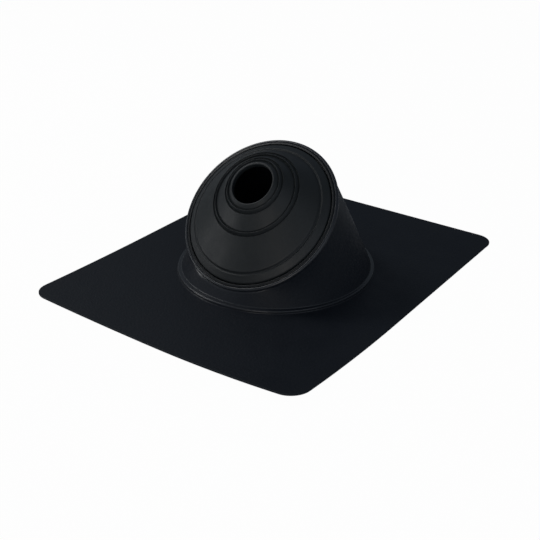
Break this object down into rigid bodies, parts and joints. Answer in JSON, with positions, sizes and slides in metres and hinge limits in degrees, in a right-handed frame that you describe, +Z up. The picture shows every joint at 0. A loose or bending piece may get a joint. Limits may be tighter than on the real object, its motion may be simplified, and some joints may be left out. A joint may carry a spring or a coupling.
{
  "type": "pipe flashing boot",
  "caption": "Roof pipe flashing: rectangular sheet flange with a hollow leaning bell, its mouth closed by a stepped, off-centre rubber collar held by a pressed-in ring.",
  "frame": {"origin": "centre of the bell's foot circle, on the underside of the flange, which is also the middle of the flange", "axes": "+Z up from the roof face, +Y along the flange's long side; the mouth of the bell leans towards -Y"},
  "size_m": [0.3174, 0.381, 0.127],
  "materials": {
    "flange_plastic": "moulded, fine grained, satin black",
    "collar_rubber": "moulded, smooth, semi-matte black",
    "ring_plastic": "moulded, smooth, satin black"
  },
  "bodies": {
    "root": {"base_flashing": "flange_plastic", "rubber_collar": "collar_rubber", "retaining_ring": "ring_plastic"}
  },
  "joints": []
}
